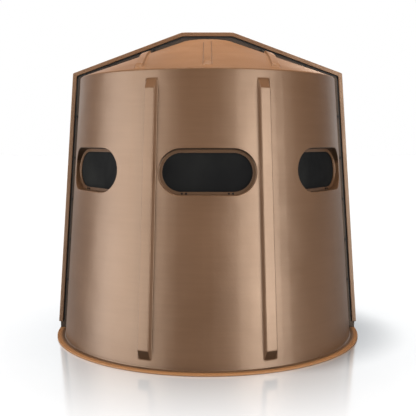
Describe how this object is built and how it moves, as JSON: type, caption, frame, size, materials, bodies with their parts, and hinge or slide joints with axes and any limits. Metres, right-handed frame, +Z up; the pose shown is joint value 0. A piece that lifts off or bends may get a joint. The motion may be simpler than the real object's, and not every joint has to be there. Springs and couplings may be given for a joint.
{
  "type": "hard-shell ground blind",
  "caption": "Round tapered two-half moulded ground blind with a low conical ribbed roof, bolted seam flange, inward-folding window flaps and a hinged rear door.",
  "frame": {"origin": "on the ground, under the centre of the base ring", "axes": "+Z up, -Y out of the front window, +X to the right of someone who looks at the front"},
  "size_m": [2.0708, 2.054, 2.03],
  "materials": {
    "brown_shell": "satin moulded polyethylene, fine pebble grain",
    "black_plastic": "matt black sheet plastic",
    "black_rubber": "matt foam rubber strip",
    "black_steel": "black coated steel",
    "zinc_steel": "dull zinc plated steel"
  },
  "bodies": {
    "shell": {"front_shell": "brown_shell", "rear_shell": "brown_shell", "seam_gasket": "black_rubber", "seam_bolt_01": "black_steel", "seam_bolt_02": "black_steel", "seam_bolt_03": "black_steel", "seam_bolt_04": "black_steel", "seam_bolt_05": "black_steel", "seam_bolt_06": "black_steel", "seam_bolt_07": "black_steel", "seam_bolt_08": "black_steel", "seam_bolt_09": "black_steel", "seam_bolt_10": "black_steel", "seam_bolt_11": "black_steel", "seam_bolt_12": "black_steel", "seam_bolt_13": "black_steel", "seam_bolt_14": "black_steel", "seam_bolt_15": "black_steel", "door_frame": "black_plastic", "door_hinge_lower_frame_leaf": "zinc_steel", "door_hinge_middle_frame_leaf": "zinc_steel", "door_hinge_upper_frame_leaf": "zinc_steel", "window_hinge_1_left": "black_steel", "window_hinge_1_right": "black_steel", "window_hinge_2_left": "black_steel", "window_hinge_2_right": "black_steel", "window_hinge_3_left": "black_steel", "window_hinge_3_right": "black_steel", "window_hinge_4_left": "black_steel", "window_hinge_4_right": "black_steel", "window_hinge_5_left": "black_steel", "window_hinge_5_right": "black_steel"},
    "door": {"door_panel": "brown_shell", "door_latch_rosette": "black_plastic", "door_hinge_lower_door_leaf": "zinc_steel", "door_hinge_middle_door_leaf": "zinc_steel", "door_hinge_upper_door_leaf": "zinc_steel", "window_hinge_6_left": "black_steel", "window_hinge_6_right": "black_steel"},
    "door_latch": {"door_latch_handle": "black_steel", "door_latch_cam": "zinc_steel"},
    "window_flap_1": {"window_cover_1": "black_plastic"},
    "window_flap_2": {"window_cover_2": "black_plastic"},
    "window_flap_3": {"window_cover_3": "black_plastic"},
    "window_flap_4": {"window_cover_4": "black_plastic"},
    "window_flap_5": {"window_cover_5": "black_plastic"},
    "window_flap_6": {"window_cover_6": "black_plastic"},
    "window_button_1": {"window_latch_1": "black_plastic"},
    "window_button_2": {"window_latch_2": "black_plastic"},
    "window_button_3": {"window_latch_3": "black_plastic"},
    "window_button_4": {"window_latch_4": "black_plastic"},
    "window_button_5": {"window_latch_5": "black_plastic"},
    "window_button_6": {"window_latch_6": "black_plastic"}
  },
  "joints": [
    {"name": "door_hinge", "type": "hinge", "parent": "shell", "child": "door", "pos_m": [0.35225, 0.8504, 0.80047], "axis": [0.0285, 0.0689, -0.9972], "range_deg": [0, 110]},
    {"name": "door_latch_turn", "type": "hinge", "parent": "door", "child": "door_latch", "pos_m": [-0.30262, 0.85075, 0.95], "axis": [0.3342, -0.9395, -0.0746], "range_deg": [0, 90]},
    {"name": "window_flap_1_hinge", "type": "hinge", "parent": "shell", "child": "window_flap_1", "pos_m": [0, -0.81189, 1.00136], "axis": [-1, 0, 0], "range_deg": [0, 172]},
    {"name": "window_button_1_turn", "type": "hinge", "parent": "shell", "child": "window_button_1", "pos_m": [0, -0.79033, 1.24944], "axis": [0, 0.9972, -0.0746], "range_deg": [0, 90]},
    {"name": "window_flap_2_hinge", "type": "hinge", "parent": "shell", "child": "window_flap_2", "pos_m": [0.66506, -0.46568, 1.00136], "axis": [-0.5736, -0.8192, 0], "range_deg": [0, 172]},
    {"name": "window_button_2_turn", "type": "hinge", "parent": "shell", "child": "window_button_2", "pos_m": [0.6474, -0.45332, 1.24944], "axis": [-0.8169, 0.572, -0.0746], "range_deg": [0, 90]},
    {"name": "window_flap_3_hinge", "type": "hinge", "parent": "shell", "child": "window_flap_3", "pos_m": [-0.66506, -0.46568, 1.00136], "axis": [-0.5736, 0.8192, 0], "range_deg": [0, 172]},
    {"name": "window_button_3_turn", "type": "hinge", "parent": "shell", "child": "window_button_3", "pos_m": [-0.6474, -0.45332, 1.24944], "axis": [0.8169, 0.572, -0.0746], "range_deg": [0, 90]},
    {"name": "window_flap_4_hinge", "type": "hinge", "parent": "shell", "child": "window_flap_4", "pos_m": [0.66506, 0.46568, 1.00136], "axis": [0.5736, -0.8192, 0], "range_deg": [0, 172]},
    {"name": "window_button_4_turn", "type": "hinge", "parent": "shell", "child": "window_button_4", "pos_m": [0.6474, 0.45332, 1.24944], "axis": [-0.8169, -0.572, -0.0746], "range_deg": [0, 90]},
    {"name": "window_flap_5_hinge", "type": "hinge", "parent": "shell", "child": "window_flap_5", "pos_m": [-0.66506, 0.46568, 1.00136], "axis": [0.5736, 0.8192, 0], "range_deg": [0, 172]},
    {"name": "window_button_5_turn", "type": "hinge", "parent": "shell", "child": "window_button_5", "pos_m": [-0.6474, 0.45332, 1.24944], "axis": [0.8169, -0.572, -0.0746], "range_deg": [0, 90]},
    {"name": "window_flap_6_hinge", "type": "hinge", "parent": "door", "child": "window_flap_6", "pos_m": [0, 0.81189, 1.00136], "axis": [1, 0, 0], "range_deg": [0, 172]},
    {"name": "window_button_6_turn", "type": "hinge", "parent": "door", "child": "window_button_6", "pos_m": [0, 0.79033, 1.24944], "axis": [0, -0.9972, -0.0746], "range_deg": [0, 90]}
  ]
}
